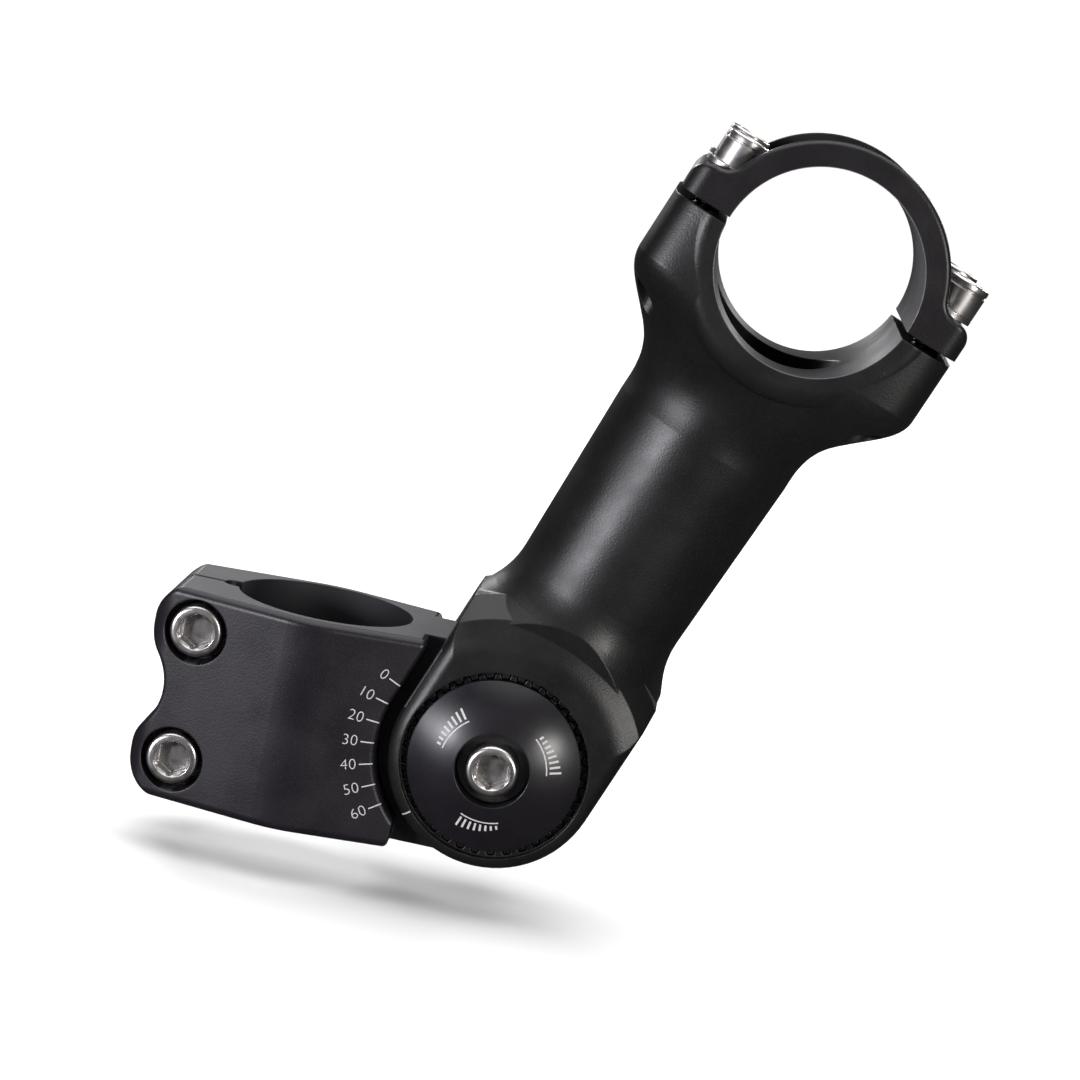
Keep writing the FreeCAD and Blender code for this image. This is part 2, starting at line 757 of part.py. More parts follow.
def arm():
    """The forked, hollow arm with the rear half of the bar clamp."""
    rim = cross_cylinder("base_rim", "rim_radius", "-base_half_width", "base_half_width", "arm_length")
    rim = rounded("base_rim_rounded", rim, "rim_rounding",
                  lambda middle: near(abs(middle.y), size("base_half_width")))
    solid = fuse("arm_solid", [arm_fork(), bar_clamp_flare(), rim])
    wide = (f"-base_half_width - {PAST}", f"base_half_width + {PAST}")
    tools = [
        box("ear_slot", (f"-ear_radius - {PAST}", "crotch"), ("-ear_inner", "ear_inner"),
            (f"-ear_radius - {PAST}", f"ear_radius + {PAST}")),
        cylinder("tube_bore", "tube_bore_radius", "arm_length - neck_end", ALONG, "neck_end"),
        cross_cylinder("bar_bore", "bar_radius", *wide, "arm_length"),
        box("beyond_split", ("arm_length - split_setback - split_gap / 2", "arm_length * 2"), wide,
            ("-bar_ear_reach * 2", "bar_ear_reach * 2")),
    ]
    for word, side in SIDES.items():
        hole = spline_hole(f"ear_splines_{word}", side, size("ear_inner") - PAST, size("ear_outer") + PAST)
        low = size("ear_outer - recess_depth") if side > 0 else -size("ear_outer") - PAST
        recess = cross_cylinder(f"ear_recess_{word}", "recess_radius", low,
                                low + size("recess_depth") + PAST)
        tools += [hole, recess]
    for word, level, side in cap_bolt_places():
        tools.append(cylinder(f"cap_thread_{word}", "small_thread_radius + running_gap", "arm_length",
                              ALONG, "tube_end", f"{side} * cap_bolt_side",
                              f"{level} * cap_bolt_height"))
    return on_arm(keep(cut("arm_cut", solid, tools), "arm"))


# ---------------------------------------------------------------- faceplate

def faceplate():
    """The front half of the bar clamp: a thin band with two rims and four bolt lugs."""
    wide = ("-cap_half_width", "cap_half_width")
    middle = ("-cap_channel_half_width", "cap_channel_half_width")
    foot = "(arm_length - split_setback + split_gap / 2)"
    lugs = box("cap_lugs", (foot, "arm_length + cap_ear_top"), wide,
               ("-cap_ear_reach", "cap_ear_reach"))
    height = size("cap_ear_reach")
    lugs = rounded("cap_lugs_rounded", lugs, "cap_lug_rounding",
                   lambda middle: near(abs(middle.z), height) and middle.x > size(foot) + SAME)
    band = cross_cylinder("cap_band", "bar_radius + bar_wall", *wide, "arm_length")
    solid = fuse("cap_solid", [lugs, band])
    seat = size("arm_length + cap_ear_top")
    solid = rounded("cap_solid_rounded", solid, "cap_seat_rounding",
                    lambda middle: near(middle.x, seat) and near(middle.y, 0))
    side = size("cap_half_width")
    solid = rounded("cap_edges_rounded", solid, "cap_edge_rounding",
                    lambda middle: near(abs(middle.y), side) and middle.x > size(foot) + SAME)
    channel = common("cap_channel", [
        cut("cap_channel_ring", cross_cylinder("channel_outer", "bar_radius * 2", *middle, "arm_length"),
            [cross_cylinder("channel_inner", "bar_radius + bar_wall - cap_channel_depth", *middle,
                            "arm_length")]),
        box("channel_reach", ("arm_length + cap_ear_top", "arm_length * 2"), middle,
            ("-cap_ear_reach", "cap_ear_reach")),
    ])
    tools = [
        channel,
        cross_cylinder("cap_bore", "bar_radius", f"-cap_half_width - {PAST}", f"cap_half_width + {PAST}",
                       "arm_length"),
        box("behind_split", ("0", foot), ("-arm_length", "arm_length"), ("-arm_length", "arm_length")),
    ]
    for word, level, side in cap_bolt_places():
        where = (f"{side} * cap_bolt_side", f"{level} * cap_bolt_height")
        tools += [
            cylinder(f"cap_hole_{word}", "pinch_hole_radius", "arm_length", ALONG, "tube_end", *where),
            cylinder(f"cap_spot_{word}", "cap_spot_radius", "arm_length", ALONG,
                     "arm_length + cap_ear_top", *where),
        ]
    return on_arm(keep(cut("faceplate_cut", solid, tools), "faceplate"))


def faceplate_fasteners():
    """Four socket screws with washers, parallel to the arm."""
    seat = size("arm_length + cap_ear_top")
    thickness = size("washer_thickness")
    for word, level, side in cap_bolt_places():
        across = side * size("cap_bolt_side")
        up = level * size("cap_bolt_height")
        washer = ring(f"faceplate_washer_{word}", "small_thread_radius", "cap_washer_radius",
                      "0", "washer_thickness")
        on_arm(keep(washer, f"faceplate_washer_{word}"), Placement(Vector(seat, across, up), ALONG))
        screw = socket_screw(f"faceplate_bolt_{word}", "cap_head_radius", "cap_head_height",
                             "small_thread_radius", "cap_bolt_length", "small_key")
        on_arm(keep(screw, f"faceplate_bolt_{word}"),
               Placement(Vector(seat + thickness, across, up), ALONG))


# ---------------------------------------------------------------- build, check and write

def check_document():
    """Stop if an object failed to recompute or a sub-part is not a valid shape."""
    doc.recompute()
    failed = [piece.Label for piece in doc.Objects
              if "Invalid" in piece.State or "Error" in piece.State]
    if failed:
        raise RuntimeError(f"these objects did not recompute: {failed}")
    for piece in nodes:
        if piece.Shape.isNull() or not piece.Shape.isValid():
            raise RuntimeError(f"{piece.Label} is not a valid shape")


def write_parts():
    """Write each sub-part to a STEP file of its own name."""
    os.makedirs("parts", exist_ok=True)
    for piece in nodes:
        piece.Shape.exportStep(f"parts/{piece.Label}.step")
        print(f"{piece.Label}: {len(piece.Shape.Solids)} solid, {piece.Shape.Volume:.1f} mm3")


steerer_clamp()
pinch_bolts()
pivot_axle()
for side_word, side_sign in SIDES.items():
    pivot_side(side_word, side_sign)
arm()
faceplate()
faceplate_fasteners()
check_document()
write_parts()
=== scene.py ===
"""The looks of an adjustable handlebar stem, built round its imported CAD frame.

The CAD parts stay where they are and get procedural finishes.  The screws are built again with
rounded heads, chamfered sockets and real threads, and the printed scale, the index line and the
turning marks on the lock discs are laid on the parts' own surfaces.  Lengths are in metres.
"""

import json
import math

import bmesh
import bpy
from mathutils import Matrix, Vector
from mathutils.bvhtree import BVHTree


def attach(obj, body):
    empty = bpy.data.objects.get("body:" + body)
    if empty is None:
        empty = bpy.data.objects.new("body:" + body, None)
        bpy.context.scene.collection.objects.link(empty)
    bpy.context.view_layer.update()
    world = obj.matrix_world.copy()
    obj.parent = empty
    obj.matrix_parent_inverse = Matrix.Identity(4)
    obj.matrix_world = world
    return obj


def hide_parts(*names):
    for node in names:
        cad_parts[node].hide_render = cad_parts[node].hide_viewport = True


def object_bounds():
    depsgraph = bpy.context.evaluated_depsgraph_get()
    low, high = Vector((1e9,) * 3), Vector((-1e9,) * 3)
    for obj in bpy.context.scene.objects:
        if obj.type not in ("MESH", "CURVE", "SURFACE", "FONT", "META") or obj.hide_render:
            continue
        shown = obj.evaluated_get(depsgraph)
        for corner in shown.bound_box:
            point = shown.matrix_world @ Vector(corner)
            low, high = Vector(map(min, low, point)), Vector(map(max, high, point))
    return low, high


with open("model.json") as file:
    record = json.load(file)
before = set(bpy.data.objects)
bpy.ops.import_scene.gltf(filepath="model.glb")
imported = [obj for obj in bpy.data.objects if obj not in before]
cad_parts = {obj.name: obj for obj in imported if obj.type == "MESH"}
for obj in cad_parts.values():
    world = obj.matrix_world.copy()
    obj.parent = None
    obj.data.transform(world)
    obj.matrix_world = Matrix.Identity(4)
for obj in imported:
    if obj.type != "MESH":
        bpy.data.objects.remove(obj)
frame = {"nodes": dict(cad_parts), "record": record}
cad_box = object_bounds()

MM = 0.001
RIGHT = Vector((0, -1, 0))
LEFT = Vector((0, 1, 0))
UP = Vector((0, 0, 1))


def record_item(group, name):
    """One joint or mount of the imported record, by name."""
    return next(item for item in group if item["name"] == name)


record = frame["record"]
pivot = Vector(record_item(record["behaviour"]["joints"], "arm_tilt")["pos_m"])
bar_centre = Vector(record_item(record["mounts"], "bar_clamp")["pos_m"])
bar_radius = record_item(record["mounts"], "bar_clamp")["dims"]["r_mm"] * MM
steerer_radius = record_item(record["mounts"], "steerer_clamp")["dims"]["r_mm"] * MM
arm_line = (bar_centre - pivot).normalized()


# ---------------------------------------------------------------- nodes of a material

def node(tree, kind, sockets=None, **settings):
    """Add a shader node; sockets maps input names or numbers to values or to other outputs."""
    made = tree.nodes.new(kind)
    for name, value in settings.items():
        setattr(made, name, value)
    for name, value in (sockets or {}).items():
        if isinstance(value, bpy.types.NodeSocket):
            tree.links.new(value, made.inputs[name])
        else:
            made.inputs[name].default_value = value
    return made


def arithmetic(tree, operation, first, second=0.0):
    """The result of one math node."""
    return node(tree, "ShaderNodeMath", {0: first, 1: second}, operation=operation).outputs[0]


def between(tree, value, low, high, start=0.0, end=1.0):
    """Map a value smoothly from low..high to start..end."""
    return node(tree, "ShaderNodeMapRange",
                {"Value": value, "From Min": low, "From Max": high, "To Min": start, "To Max": end},
                interpolation_type="SMOOTHSTEP").outputs["Result"]


def noise(tree, size, detail=2.0, roughness=0.55):
    """Noise whose blotches are about the given size across."""
    place = node(tree, "ShaderNodeTexCoord").outputs["Object"]
    return node(tree, "ShaderNodeTexNoise",
                {"Vector": place, "Scale": 1 / size, "Detail": detail, "Roughness": roughness}
                ).outputs["Fac"]


def mixed(tree, share, first, second):
    """Two colours mixed."""
    made = node(tree, "ShaderNodeMix", data_type="RGBA")
    for name, value in (("Factor", share), ("A", first), ("B", second)):
        socket = next(s for s in made.inputs if s.name == name and s.type == (
            "VALUE" if name == "Factor" else "RGBA"))
        if isinstance(value, bpy.types.NodeSocket):
            tree.links.new(value, socket)
        else:
            socket.default_value = value
    return next(s for s in made.outputs if s.type == "RGBA")


def distance_from_line(tree, point, direction):
    """How far the surface is from a line, in the object's own coordinates."""
    place = node(tree, "ShaderNodeTexCoord").outputs["Object"]
    offset = node(tree, "ShaderNodeVectorMath", {0: place, 1: point}, operation="SUBTRACT").outputs[0]
    across = node(tree, "ShaderNodeVectorMath", {0: offset, 1: direction},
                  operation="CROSS_PRODUCT").outputs[0]
    return node(tree, "ShaderNodeVectorMath", {0: across}, operation="LENGTH").outputs["Value"]


def softened_normal(tree, radius):
    """The normal with every edge rounded by a small radius."""
    return node(tree, "ShaderNodeBevel", {"Radius": radius}, samples=6).outputs["Normal"]


def edge_share(tree, normal, sharpness=0.25):
    """One on the edges that handling wears, nothing on open surfaces."""
    plain = node(tree, "ShaderNodeNewGeometry").outputs["Normal"]
    likeness = node(tree, "ShaderNodeVectorMath", {0: normal, 1: plain},
                    operation="DOT_PRODUCT").outputs["Value"]
    return between(tree, likeness, 1 - sharpness, 0.995, 1.0, 0.0)


def tint(colour, factor=1.0):
    """A colour made lighter or darker, with its alpha."""
    return (*[factor * channel for channel in colour[:3]], 1)


def new_material(name, colour, roughness, metallic=0.0, specular=0.5):
    """A material with one Principled shader."""
    material = bpy.data.materials.new(name)
    material.use_nodes = True
    shader = material.node_tree.nodes["Principled BSDF"]
    shader.inputs["Base Color"].default_value = tint(colour)
    shader.inputs["Roughness"].default_value = roughness
    shader.inputs["Metallic"].default_value = metallic
    shader.inputs["Specular IOR Level"].default_value = specular
    return material, material.node_tree, shader


# ---------------------------------------------------------------- finishes

def anodised(name, colour, worn, roughness, specular, grain_depth, bare=None, bare_and_sheen_colour=None):
    """Black anodised aluminium: fine grain, faint clouds, worn edges and lighter bare faces, which on
    the clamp are also a painted highlight.
    """
    edge_rounding, wear_size, cloud_size, grain_size = 0.35 * MM, 3 * MM, 9 * MM, 0.3 * MM
    cloud_tint, grain_tint, line_tint = 1.35, 1.9, 1.5
    grain_share, wear_share = 0.5, 0.8
    material, tree, shader = new_material(name, colour, roughness, specular=specular)
    soft = softened_normal(tree, edge_rounding)
    edges = edge_share(tree, soft)
    wear = arithmetic(tree, "MULTIPLY", edges, between(tree, noise(tree, wear_size), 0.35, 0.7))
    clouds = noise(tree, cloud_size, detail=4.0)
    fine = noise(tree, grain_size, detail=1.0, roughness=0.4)
    base = mixed(tree, between(tree, clouds, 0.3, 0.7), tint(colour), tint(colour, cloud_tint))
    base = mixed(tree, arithmetic(tree, "MULTIPLY", between(tree, fine, 0.4, 0.75), grain_share), base,
                 tint(colour, grain_tint))
    base = mixed(tree, arithmetic(tree, "MULTIPLY", wear, wear_share), base, tint(worn))
    rough = between(tree, clouds, 0.25, 0.75, roughness - 0.04, roughness + 0.05)
    height = fine
    if bare is not None:
        # The bare faces' colour: bare metal, and on the clamp's top and bottom also a painted
        # highlight.
        share, lines, rougher = bare(tree)
        base = mixed(tree, share, base, mixed(tree, lines, tint(bare_and_sheen_colour),
                                              tint(bare_and_sheen_colour, line_tint)))
        rough = arithmetic(tree, "ADD", rough, rougher)
        height = arithmetic(tree, "ADD", arithmetic(tree, "MULTIPLY", fine, arithmetic(
            tree, "SUBTRACT", 1.0, share)), arithmetic(tree, "MULTIPLY", lines, share))
    bump = node(tree, "ShaderNodeBump", {"Strength": 0.5, "Distance": grain_depth, "Height": height,
                                         "Normal": soft})
    tree.links.new(base, shader.inputs["Base Color"])
    tree.links.new(rough, shader.inputs["Roughness"])
    tree.links.new(bump.outputs["Normal"], shader.inputs["Normal"])
    return material


def on_bore(tree, point, direction, radius):
    """One on the wall of a bore, nothing further out."""
    nearest, furthest = radius + 0.05 * MM, radius + 0.15 * MM
    return between(tree, distance_from_line(tree, point, direction), nearest, furthest, 1.0, 0.0)


def milled_ends(tree):
    """The clamp's top and bottom are milled bare and matt, and lighter as a painted highlight of the
    light on the top; its bore is matt too, but not bare.
    """
    mill_mark_size, extra_roughness = 0.5 * MM, 0.3
    facing = node(tree, "ShaderNodeTexCoord").outputs["Normal"]
    upright = node(tree, "ShaderNodeSeparateXYZ", {0: facing}).outputs["Z"]
    # Flat top and bottom: bare machined finish, made lighter as a painted highlight.
    flat = between(tree, arithmetic(tree, "ABSOLUTE", upright), 0.97, 0.995)
    bore = on_bore(tree, (0, 0, 0), UP, steerer_radius)
    rougher = arithmetic(tree, "MULTIPLY", arithmetic(tree, "MAXIMUM", flat, bore), extra_roughness)
    return flat, noise(tree, mill_mark_size, detail=3.0), rougher


def bored_ring(tree):
    """The bar clamp's bore is bare, smoother, and shows fine turning rings."""
    rings_per_metre, streaks_per_metre, extra_roughness = 5000, 300, -0.06
    share = on_bore(tree, bar_centre, LEFT, bar_radius)
    place = node(tree, "ShaderNodeTexCoord").outputs["Object"]
    stretch = (streaks_per_metre, rings_per_metre, streaks_per_metre)
    stretched = node(tree, "ShaderNodeMapping", {"Vector": place, "Scale": stretch}).outputs[0]
    rings = node(tree, "ShaderNodeTexNoise", {"Vector": stretched, "Scale": 1.0}).outputs["Fac"]
    return share, rings, arithmetic(tree, "MULTIPLY", share, extra_roughness)


def polished_steel(name, colour, roughness):
    """Bright screw steel with turning rings about its own axis, faint smears and a thread darkened as
    painted shade.
    """
    ring_size, ring_depth, ring_wobble, edge_rounding = 0.3 * MM, 0.004 * MM, 0.3 * MM, 0.12 * MM
    # The last two numbers: how dark the painted shade on the thread is, and the height below the seat
    # over which it fades in.
    smear_tint, thread_shade_tint, thread_shade_edge = 0.82, 0.06, 0.3 * MM
    material, tree, shader = new_material(name, colour, roughness, metallic=1.0)
    radius = distance_from_line(tree, (0, 0, 0), UP)
    wobble = arithmetic(tree, "MULTIPLY", noise(tree, 2 * MM), ring_wobble)
    rings = arithmetic(tree, "SINE", arithmetic(
        tree, "MULTIPLY", arithmetic(tree, "ADD", radius, wobble), 2 * math.pi / ring_size))
    smears = noise(tree, 2.2 * MM, detail=3.0, roughness=0.6)
    tree.links.new(between(tree, smears, 0.25, 0.8, roughness - 0.05, roughness + 0.1),
                   shader.inputs["Roughness"])
    shade = mixed(tree, between(tree, smears, 0.35, 0.7), tint(colour), tint(colour, smear_tint))
    place = node(tree, "ShaderNodeTexCoord").outputs["Object"]
    above_seat = node(tree, "ShaderNodeSeparateXYZ", {0: place}).outputs["Z"]
    # Painted shade: below the seat of the head the steel is darkened, standing in for the shadow in the
    # holes and the clamp's slot.
    unshaded_share = between(tree, above_seat, -thread_shade_edge, 0)
    tree.links.new(mixed(tree, unshaded_share, tint(colour, thread_shade_tint), shade), shader.inputs["Base Color"])
    bump = node(tree, "ShaderNodeBump", {"Strength": 0.25, "Distance": ring_depth, "Height": rings,
                                         "Normal": softened_normal(tree, edge_rounding)})
    tree.links.new(bump.outputs["Normal"], shader.inputs["Normal"])
    return material


def plain_finish(name, colour, roughness, metallic=1.0):
    """A small metal or plastic piece with a faint grain."""
    grain_size, grain_depth, patch_size, edge_rounding = 0.3 * MM, 0.006 * MM, 2 * MM, 0.15 * MM
    patch_tint = 0.7
    material, tree, shader = new_material(name, colour, roughness, metallic=metallic)
    grain = noise(tree, grain_size, detail=3.0)
    patches = between(tree, noise(tree, patch_size), 0.3, 0.7)
    tree.links.new(mixed(tree, patches, tint(colour), tint(colour, patch_tint)),
                   shader.inputs["Base Color"])
    tree.links.new(between(tree, grain, 0.3, 0.7, roughness - 0.05, roughness + 0.08),
                   shader.inputs["Roughness"])
    bump = node(tree, "ShaderNodeBump", {"Strength": 0.3, "Distance": grain_depth, "Height": grain,
                                         "Normal": softened_normal(tree, edge_rounding)})
    tree.links.new(bump.outputs["Normal"], shader.inputs["Normal"])
    return material


def printed_ink():
    """White pad-printed ink, a little uneven."""
    colour, thin_colour, patch_size = (0.36, 0.35, 0.35), (0.2, 0.19, 0.2), 0.25 * MM
    material, tree, shader = new_material("white_ink", colour, 0.55, specular=0.3)
    patches = between(tree, noise(tree, patch_size, detail=3.0), 0.45, 0.8)
    tree.links.new(mixed(tree, patches, tint(colour), tint(thin_colour)), shader.inputs["Base Color"])
    return material


bore_colour = (0.075, 0.072, 0.077)
arm_finish = anodised(
    "arm_anodised", (0.0042, 0.0041, 0.0041), worn=(0.03, 0.029, 0.028), roughness=0.37,
    specular=0.3, grain_depth=0.045 * MM, bare=bored_ring, bare_and_sheen_colour=bore_colour)
cap_finish = anodised(
    "faceplate_anodised", (0.005, 0.0043, 0.005), worn=(0.03, 0.028, 0.03), roughness=0.37,
    specular=0.3, grain_depth=0.040 * MM, bare=bored_ring, bare_and_sheen_colour=bore_colour)
# The lighter colour of the clamp's flat top and bottom is bare metal and a painted highlight of the
# light on the top.
clamp_finish = anodised(
    "clamp_anodised", (0.0055, 0.0044, 0.0064), worn=(0.04, 0.036, 0.042), roughness=0.35,
    specular=0.33, grain_depth=0.030 * MM, bare=milled_ends, bare_and_sheen_colour=(0.04, 0.038, 0.042))
disc_finish = anodised(
    "disc_anodised", (0.0045, 0.0038, 0.0052), worn=(0.04, 0.037, 0.042), roughness=0.32,
    specular=0.35, grain_depth=0.006 * MM)
screw_finish = polished_steel("bright_steel", (0.58, 0.56, 0.55), roughness=0.3)
axle_finish = plain_finish("turned_steel", (0.42, 0.41, 0.40), roughness=0.35)
spring_finish = plain_finish("spring_steel", (0.35, 0.34, 0.33), roughness=0.3)
bush_finish = plain_finish("bush_polymer", (0.62, 0.60, 0.54), roughness=0.5, metallic=0.0)
washer_finish = plain_finish("black_washer", (0.012, 0.012, 0.012), roughness=0.4, metallic=0.0)
ink = printed_ink()

FINISH_OF_SLOT = {
    "clamp_anodised": clamp_finish,
    "arm_anodised": arm_finish,
    "disc_anodised": disc_finish,
    "bright_steel": screw_finish,
    "turned_steel": axle_finish,
    "spring_steel": spring_finish,
    "bush_polymer": bush_finish,
    "black_washer": washer_finish,
}


def finish_cad_nodes():
    """Give every CAD part the finish of its material slot."""
    slots = {part["node"]: part["material_slot"] for part in record["subparts"]}
    for name, part in frame["nodes"].items():
        finish = cap_finish if name == "faceplate" else FINISH_OF_SLOT[slots[name]]
        for slot in part.material_slots:
            slot.material = finish


# ---------------------------------------------------------------- screws

def span_along(name, axis):
    """Where a CAD screw lies: its axis line's nearest point to the origin, and its two ends."""
    points = [vertex.co for vertex in frame["nodes"][name].data.vertices]
    along = [point.dot(axis) for point in points]
    corner = [min(point[i] for point in points) + max(point[i] for point in points) for i in range(3)]
    middle = Vector(corner) / 2
    return middle - axis * middle.dot(axis), min(along), max(along)


def loft(rings, name):
    """A closed skin through rings of equally many points, with both ends filled."""
    mesh = bpy.data.meshes.new(name)
    shape = bmesh.new()
    loops = [[shape.verts.new(point) for point in ring] for ring in rings]
    for low, high in zip(loops, loops[1:]):
        for i in range(len(low)):
            j = (i + 1) % len(low)
            shape.faces.new((low[i], low[j], high[j], high[i]))
    for end in (list(reversed(loops[0])), loops[-1]):
        shape.faces.new(end)
    bmesh.ops.recalc_face_normals(shape, faces=shape.faces)
    for face in shape.faces:
        face.smooth = True
    shape.to_mesh(mesh)
    shape.free()
    return mesh


AROUND = 48    # points in each ring of a screw


def circle_ring(radius, height):
    """Points round a circle about Z."""
    angles = [2 * math.pi * i / AROUND for i in range(AROUND)]
    return [Vector((radius * math.cos(angle), radius * math.sin(angle), height)) for angle in angles]


def hexagon_ring(across_flats, height):
    """Points round a hexagon about Z, at the same angles as a circle's."""
    points = []
    for i in range(AROUND):
        angle = 2 * math.pi * i / AROUND
        from_flat = (angle + math.pi / 6) % (math.pi / 3) - math.pi / 6
        radius = across_flats / 2 / math.cos(from_flat)
        points.append(Vector((radius * math.cos(angle), radius * math.sin(angle), height)))
    return points


def thread_rings(radius, depth, pitch, bottom, top):
    """Rings of a helical thread between two heights, fading out at both ends."""
    rings = []
    rings_per_turn = 8
    steps = max(int((top - bottom) / (pitch / rings_per_turn)), 1)
    for step in range(steps + 1):
        height = bottom + (top - bottom) * step / steps
        fade = min(1, (height - bottom) / pitch, (top - height) / pitch)
        ring = []
        for i in range(AROUND):
            turn = (height / pitch - i / AROUND) % 1
            groove = depth * fade * (1 - abs(2 * turn - 1))
            angle = 2 * math.pi * i / AROUND
            reach = radius - groove
            ring.append(Vector((reach * math.cos(angle), reach * math.sin(angle), height)))
        rings.append(ring)
    return rings


def shank_rings(radius, length, pitch):
    """A screw's shank from its tip up to the seat of its head: thread, then a plain neck."""
    tip_taper, tip_length = 0.5 * MM, 0.4 * MM
    thread_inset, thread_depth, thread_end = 0.02 * MM, 0.3 * MM, -0.3 * MM
    neck_start = -0.1 * MM
    rings = [circle_ring(radius - tip_taper, -length)]
    rings += thread_rings(radius - thread_inset, thread_depth, pitch, tip_length - length, thread_end)
    return rings + [circle_ring(radius, neck_start), circle_ring(radius, 0)]


def head_rings(radius, height, rounding, groove):
    """A screw's head from its seat to its rounded rim, with a groove round it where it has one."""
    chamfer = 0.15 * MM
    rings = [circle_ring(radius - chamfer, 0), circle_ring(radius, chamfer)]
    if groove:
        below_rounding, groove_width = 0.9 * MM, 0.2 * MM
        line = height - rounding - below_rounding
        rings += [circle_ring(radius, line - chamfer), circle_ring(radius - groove, line),
                  circle_ring(radius - groove, line + groove_width),
                  circle_ring(radius, line + groove_width + chamfer)]
    corner_steps = 5
    for step in range(corner_steps + 1):
        angle = math.pi / 2 * step / corner_steps
        rings.append(circle_ring(radius - rounding * (1 - math.cos(angle)),
                                 height - rounding * (1 - math.sin(angle))))
    return rings


def socket_rings(key, top):
    """A chamfered hexagon socket, from the top of the head down to its middle."""
    depth, lead_in, lead_end = 2.6 * MM, 0.12 * MM, 0.3 * MM
    corner_clearance, bottom_bevel, middle = 0.02 * MM, 0.15 * MM, 0.1 * MM
    corner = key / 2 / math.cos(math.pi / 6)
    return [circle_ring(corner + lead_in, top),
            circle_ring(corner + corner_clearance, top - lead_in),
            hexagon_ring(key, top - lead_end),
            hexagon_ring(key, top - depth + bottom_bevel),
            hexagon_ring(key - 2 * bottom_bevel, top - depth),
            circle_ring(middle, top - depth)]


def screw(name, axis, body, thread_radius, pitch, head_radius, head_height, key, rounding, groove=0.0):
    """A socket screw in place of its CAD node: rounded head, chamfered hexagon socket and thread."""
    foot, low, high = span_along(name, axis)
    length = high - low - head_height
    rings = (shank_rings(thread_radius, length, pitch)
             + head_rings(head_radius, head_height, rounding, groove)
             + socket_rings(key, head_height))
    mesh = loft(rings, name + "_detailed")
    piece = bpy.data.objects.new(name + "_detailed", mesh)
    bpy.context.scene.collection.objects.link(piece)
    turn = UP.rotation_difference(axis).to_matrix().to_4x4()
    piece.matrix_world = Matrix.Translation(foot + axis * (high - head_height)) @ turn
    mesh.materials.append(screw_finish)
    crisp_beyond = 38
    split = piece.modifiers.new("crisp_edges", "EDGE_SPLIT")
    split.split_angle = math.radians(crisp_beyond)
    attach(piece, body)
    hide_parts(name)


def all_screws():
    """The two pinch bolts, the four faceplate bolts and the two pivot bolts."""
    m5 = {"thread_radius": 2.5 * MM, "pitch": 0.8 * MM}
    m6 = {"thread_radius": 3.0 * MM, "pitch": 1.0 * MM}
    pinch_head = {"head_radius": 4.2 * MM, "head_height": 4.6 * MM, "key": 5 * MM,
                  "rounding": 0.7 * MM}
    faceplate_head = {"head_radius": 3.55 * MM, "head_height": 5.2 * MM, "key": 4 * MM,
                      "rounding": 0.45 * MM, "groove": 0.22 * MM}
    pivot_head = {"head_radius": 4.1 * MM, "head_height": 3.7 * MM, "key": 5 * MM,
                  "rounding": 0.7 * MM}
    for level in ("upper", "lower"):
        screw(f"pinch_bolt_{level}", RIGHT, "clamp", **m5, **pinch_head)
        for side in ("right", "left"):
            screw(f"faceplate_bolt_{level}_{side}", arm_line, "faceplate", **m5, **faceplate_head)
    for side, outward in (("right", RIGHT), ("left", LEFT)):
        screw(f"pivot_bolt_{side}", outward, f"bolt_{side}", **m6, **pivot_head)


# ---------------------------------------------------------------- printed marks

INK_LIFT = 0.02 * MM
DRAWN_AT = 30 * MM     # how far out from the pivot's middle a mark is drawn
RAYS_FROM = 100 * MM   # how much further out it is dropped onto the surface from


def surface_of(name):
    """A CAD part's surface, for laying print on it."""
    mesh = frame["nodes"][name].data
    return BVHTree.FromPolygons([vertex.co for vertex in mesh.vertices],
                                [polygon.vertices for polygon in mesh.polygons])


def lay_on(mesh, surface, outward):
    """Move each point straight inwards onto the surface, a hair proud of it."""
    for vertex in mesh.vertices:
        start = vertex.co + outward * RAYS_FROM
        hit, normal, _, _ = surface.ray_cast(start, -outward)
        if hit is not None:
            vertex.co = hit + (normal if normal.dot(outward) > 0 else -normal) * INK_LIFT


def at_pivot(angle, radius, outward):
    """A point at an angle from +X towards +Z about the pivot, clear of the stem on one side."""
    along = math.radians(angle)
    around = Vector((radius * math.cos(along), 0, radius * math.sin(along)))
    return pivot + around + outward * DRAWN_AT


def strip(shape, corners, long_steps, cross_steps):
    """A four-cornered patch of small faces."""
    grid = []
    for i in range(long_steps + 1):
        near = corners[0].lerp(corners[1], i / long_steps)
        far = corners[3].lerp(corners[2], i / long_steps)
        grid.append([shape.verts.new(near.lerp(far, j / cross_steps)) for j in range(cross_steps + 1)])
    for i in range(long_steps):
        for j in range(cross_steps):
            shape.faces.new((grid[i][j], grid[i + 1][j], grid[i + 1][j + 1], grid[i][j + 1]))


def radial_dash(shape, angle, inner, outer, width, outward):
    """A short printed line that points at the pivot."""
    inner_half, outer_half = [math.degrees(width / 2 / radius) for radius in (inner, outer)]
    corners = [at_pivot(angle - inner_half, inner, outward),
               at_pivot(angle - outer_half, outer, outward),
               at_pivot(angle + outer_half, outer, outward),
               at_pivot(angle + inner_half, inner, outward)]
    strip(shape, corners, long_steps=12, cross_steps=2)


def printed(shape, name, surface, outward, body):
    """Turn a flat drawing into ink on a surface."""
    mesh = bpy.data.meshes.new(name)
    shape.to_mesh(mesh)
    shape.free()
    lay_on(mesh, surface, outward)
    mesh.materials.append(ink)
    piece = bpy.data.objects.new(name, mesh)
    bpy.context.scene.collection.objects.link(piece)
    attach(piece, body)


